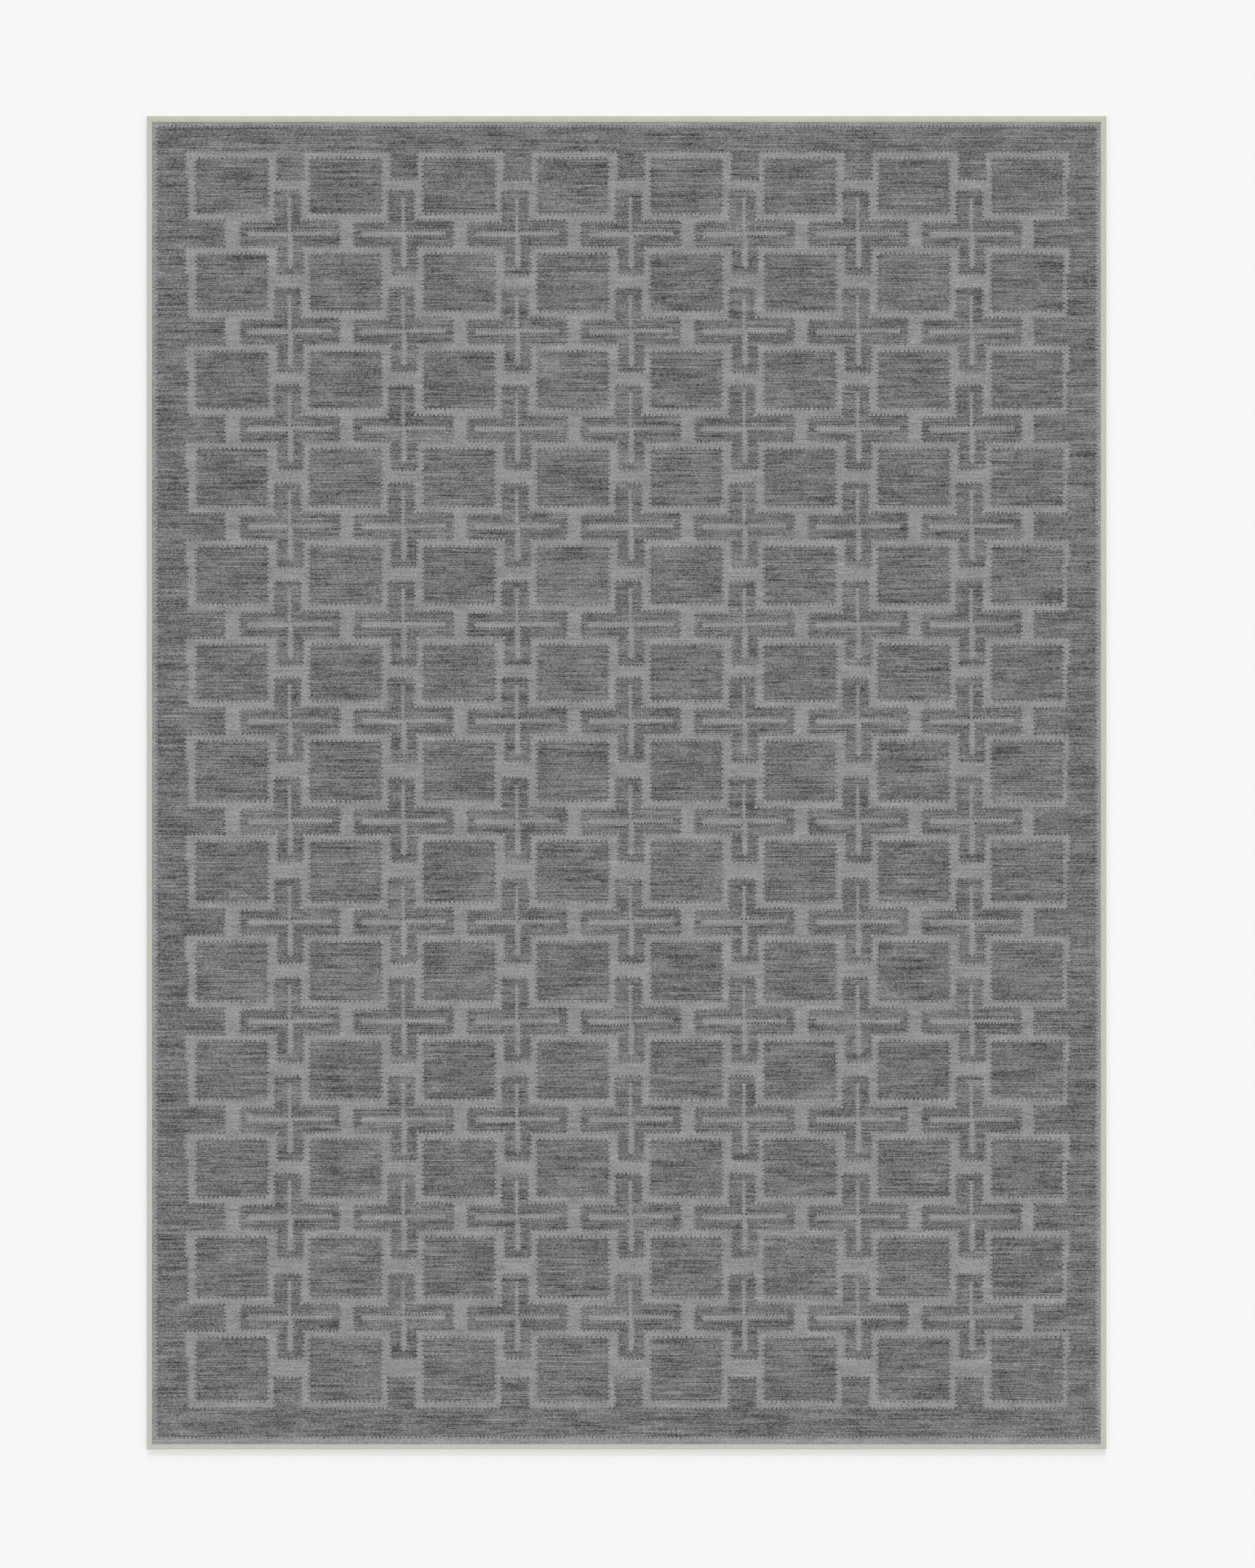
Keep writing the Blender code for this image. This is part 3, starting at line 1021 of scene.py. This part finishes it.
def makeLayer(name, node, tree, finish, seed):
    low, high = (corner.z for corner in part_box(node))
    halfWide, halfLong = rugHalfWide - layers["inset"], rugHalfLong - layers["inset"]
    xs = evenCuts(-halfWide, halfWide, layers["cell"])
    ys = evenCuts(-halfLong, halfLong, layers["cell"])
    piece = objectFrom(name, slab(name, xs, ys, low, high))
    addModifier(piece, tree, {
        "Relief": layers["relief"], "Lump": layers["lump"], "Seed": seed, "Finish": finish})
    smoothTop(settle(piece))
    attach(piece, "root")
    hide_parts(node)
    print(name + ":", len(piece.data.polygons), "faces")


def domesTree():
    tree, get, put = newTree("gripDomes", "GeometryNodeTree", {
        "Geometry": "Geometry",
        "Spots": "Object",
        "Radius": 0.005,
        "Flat Radius": 0.003,
        "Depth": 0.0003,
        "Finish": "Material",
    }, {"Geometry": "Geometry"})
    spots = addNode(tree, "GeometryNodeObjectInfo", {"Object": get["Spots"]}).outputs["Geometry"]
    dome = addNode(tree, "GeometryNodeMeshCone", {
        "Vertices": 6, "Radius Top": get["Flat Radius"], "Radius Bottom": get["Radius"],
        "Depth": get["Depth"]}, fill_type="NGON").outputs["Mesh"]
    dome = nodeOut(tree, "GeometryNodeTransform", {"Geometry": dome, "Rotation": (math.pi, 0, 0)})
    many = nodeOut(tree, "GeometryNodeInstanceOnPoints", {"Points": spots, "Instance": dome})
    whole = tree.nodes.new("GeometryNodeJoinGeometry")
    tree.links.new(many, whole.inputs[0])
    tree.links.new(get["Geometry"], whole.inputs[0])
    endTree(tree, whole.outputs[0], get["Finish"], put)
    return tree


def labelWindow():
    # left, right and head side of the window in the grip sheet's foot edge
    right = rugHalfWide - label["fromSide"] + label["clear"]
    left = right - label["wide"] - 2 * label["clear"]
    return left, right, grip["inset"] - rugHalfLong + label["long"] + label["clear"]


def domeSpots(halfWide, halfLong, window):
    # staggered rows, leaving out what would reach into the label's window
    left, right, head = window
    grid, radius = grip["domeGrid"], grip["domeRadius"]
    step = grid * grip["rowShare"]
    across = int((2 * halfWide - 2 * radius - grip["edgeRoom"]) / grid)
    rows = int((2 * halfLong - 2 * radius - grip["edgeRoom"]) / step)
    spots = []
    for j in range(rows + 1):
        for i in range(across + 1 - j % 2):
            x, y = (i - across / 2 + 0.5 * (j % 2)) * grid, (j - rows / 2) * step
            if not (left - radius < x < right + radius and y < head + radius):
                spots.append((x, y, grip["low"]))
    return spots


def mapGripSheet(mesh):
    # one flat map from above, which the upper faces and the low faces share
    at, places = np.empty(len(mesh.loops), int), np.empty(3 * len(mesh.vertices))
    mesh.loops.foreach_get("vertex_index", at)
    mesh.vertices.foreach_get("co", places)
    normals, totals = np.empty(3 * len(mesh.polygons)), np.empty(len(mesh.polygons), int)
    mesh.polygons.foreach_get("normal", normals)
    mesh.polygons.foreach_get("loop_total", totals)
    places = places.reshape(-1, 3)
    low, high = places.min(0), places.max(0)
    places = places[at]
    normals = np.repeat(normals.reshape(-1, 3), totals, axis=0)
    # walls lean outwards a little, to have some width
    walls = np.abs(normals[:, 2]) <= grip["wallRise"]
    lean = grip["wallLean"] * walls * (high[2] - places[:, 2])
    flat = places[:, :2] + normals[:, :2] * lean[:, None]
    flat = (flat - low[:2]) / (high[:2] - low[:2])
    mesh.uv_layers.new(name="OFBake").data.foreach_set("uv", flat.ravel())


def makeGripSheet():
    x, y = rugHalfWide - grip["inset"], rugHalfLong - grip["inset"]
    left, right, head = labelWindow()
    outline = [(-x, -y), (left, -y), (left, head), (right, head), (right, -y), (x, -y), (x, y), (-x, y)]
    points = [(*p, height) for height in (grip["low"], grip["high"]) for p in outline]
    count = len(outline)
    faces = [tuple(reversed(range(count))), tuple(range(count, 2 * count))]
    faces += [(i, (i + 1) % count, count + (i + 1) % count, count + i) for i in range(count)]
    piece = objectFrom("grip_sheet", meshFrom("grip_sheet", points, faces))
    spots = domeSpots(x, y, (left, right, head))
    spread = objectFrom("domeSpots", meshFrom("domeSpots", spots, []))
    finish = layerFinish("gripRubber", grip["colour"], 0.75, 0.0012, 0.4, 0.0002)
    addModifier(piece, domesTree(), {
        "Spots": spread, "Radius": grip["domeRadius"], "Flat Radius": grip["domeFlat"],
        "Depth": grip["low"], "Finish": finish})
    mesh = settle(piece)
    bpy.data.objects.remove(spread)
    mapGripSheet(mesh)
    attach(piece, "root")
    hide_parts("grip_backing")
    print("grip sheet:", len(spots), "domes,", len(mesh.polygons), "faces")


def makeLabel(tree):
    right = rugHalfWide - label["fromSide"]
    foot = grip["inset"] - rugHalfLong
    xs = evenCuts(right - label["wide"], right, label["cell"])
    ys = evenCuts(foot, foot + label["long"], label["cell"])
    piece = objectFrom("blank_label", slab("blank_label", xs, ys, label["low"], label["high"]))
    finish = layerFinish("labelSatin", label["colour"], 0.45, 0.0006, 0.12, 0.00005, label["pitch"])
    addModifier(piece, tree, {
        "Relief": label["relief"], "Lump": label["lump"], "Seed": 3.0, "Finish": finish})
    smoothTop(settle(piece))
    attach(piece, "root")
    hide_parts("care_label")
    print("label:", len(piece.data.polygons), "faces")


def makeLayers():
    tree = layerTree()
    makeGripSheet()
    felt = layerFinish("greyFelt", layers["felt"], 0.95, 0.0016, 0.8, 0.0003)
    makeLayer("felt_layer", "cushion_felt", tree, felt, 5.0)
    scrim = layerFinish("scrimWeave", layers["scrim"], 0.9, 0.0008, 0.3, 0.0003, layers["scrimPitch"])
    makeLayer("scrim_layer", "backing_scrim", tree, scrim, 8.0)
    makeLabel(tree)


studio = {
    "frameWide": 1725,
    "frameHigh": 2156,
    "rugShare": 0.76464,  # of the frame's width
    "aim": (0.0016, -0.0023),
    "lens": 100.0,
    "sensor": 36.0,
    "floorHalf": 30.0,
    "floorTone": 0.8015,
    "floorGrain": 0.006,
    "lights": {  # strength, tilt from overhead, turn from the head edge to the left, spread
        "overhead": (1.146, 0.0, 0.0, 8.0),
        "headFill": (1.242, 60.0, 0.0, 30.0),
        "leftFill": (0.230, 50.0, 90.0, 30.0),
        "rightFill": (0.230, 50.0, -90.0, 30.0),
    },
    "room": 0.505,  # the light that comes from all round
    "backdrop": 0.93,  # how bright the room looks beyond the floor
}


def makeCamera():
    camera = objectFrom("camera", bpy.data.cameras.new("camera"))
    bpy.context.scene.camera = camera
    camera.data.lens = studio["lens"]
    camera.data.sensor_width = studio["sensor"]
    high = 2 * rugHalfWide / studio["rugShare"] * studio["frameHigh"] / studio["frameWide"]
    camera.location = (*studio["aim"], high / studio["sensor"] * studio["lens"] + tape["top"])
    camera.data.clip_start = 0.1
    camera.data.clip_end = 200.0


def makeFloor():
    half, tone = studio["floorHalf"], studio["floorTone"]
    corners = [(-half, -half, 0), (half, -half, 0), (half, half, 0), (-half, half, 0)]
    floor = objectFrom("floor", meshFrom("floor", corners, [(0, 1, 2, 3)]))
    material, tree, shader, place = newMaterial("palePaper", 0.9, 0.0)
    grain = fibreTone(tree, place, 0.004, 1.0)
    paper = shade(tree, (tone, tone, tone, 1.0), toneSum(tree, (grain, studio["floorGrain"])))
    tree.links.new(paper, shader.inputs["Base Color"])
    floor.data.materials.append(material)


def makeRoom():
    # camera rays see a brighter room than the one that lights the rug
    world = bpy.data.worlds.new("paleRoom")
    bpy.context.scene.world = world
    world.use_nodes = True
    tree = world.node_tree
    seen = addNode(tree, "ShaderNodeLightPath").outputs["Is Camera Ray"]
    strength = ramp(tree, seen, 0.0, 1.0, (studio["room"], studio["backdrop"]), "LINEAR")
    tree.links.new(strength, tree.nodes["Background"].inputs["Strength"])
    tree.nodes["Background"].inputs["Color"].default_value = (1, 1, 1, 1)
    bpy.context.scene.view_settings.view_transform = "Standard"


def addSun(name, strength, tilt, turn, spread):
    lamp = bpy.data.lights.new(name, "SUN")
    lamp.energy = strength
    lamp.angle = math.radians(spread)
    objectFrom(name, lamp).rotation_euler = (-math.radians(tilt), 0.0, math.radians(turn))


def makeStudio():
    makeCamera()
    makeFloor()
    for name, values in studio["lights"].items():
        addSun(name, *values)
    makeRoom()
    print("studio: camera, floor, room and", len(studio["lights"]), "suns")


makeStudio()
makeLayers()
makeFaceCloth()
makeBinding()
makeStitches()
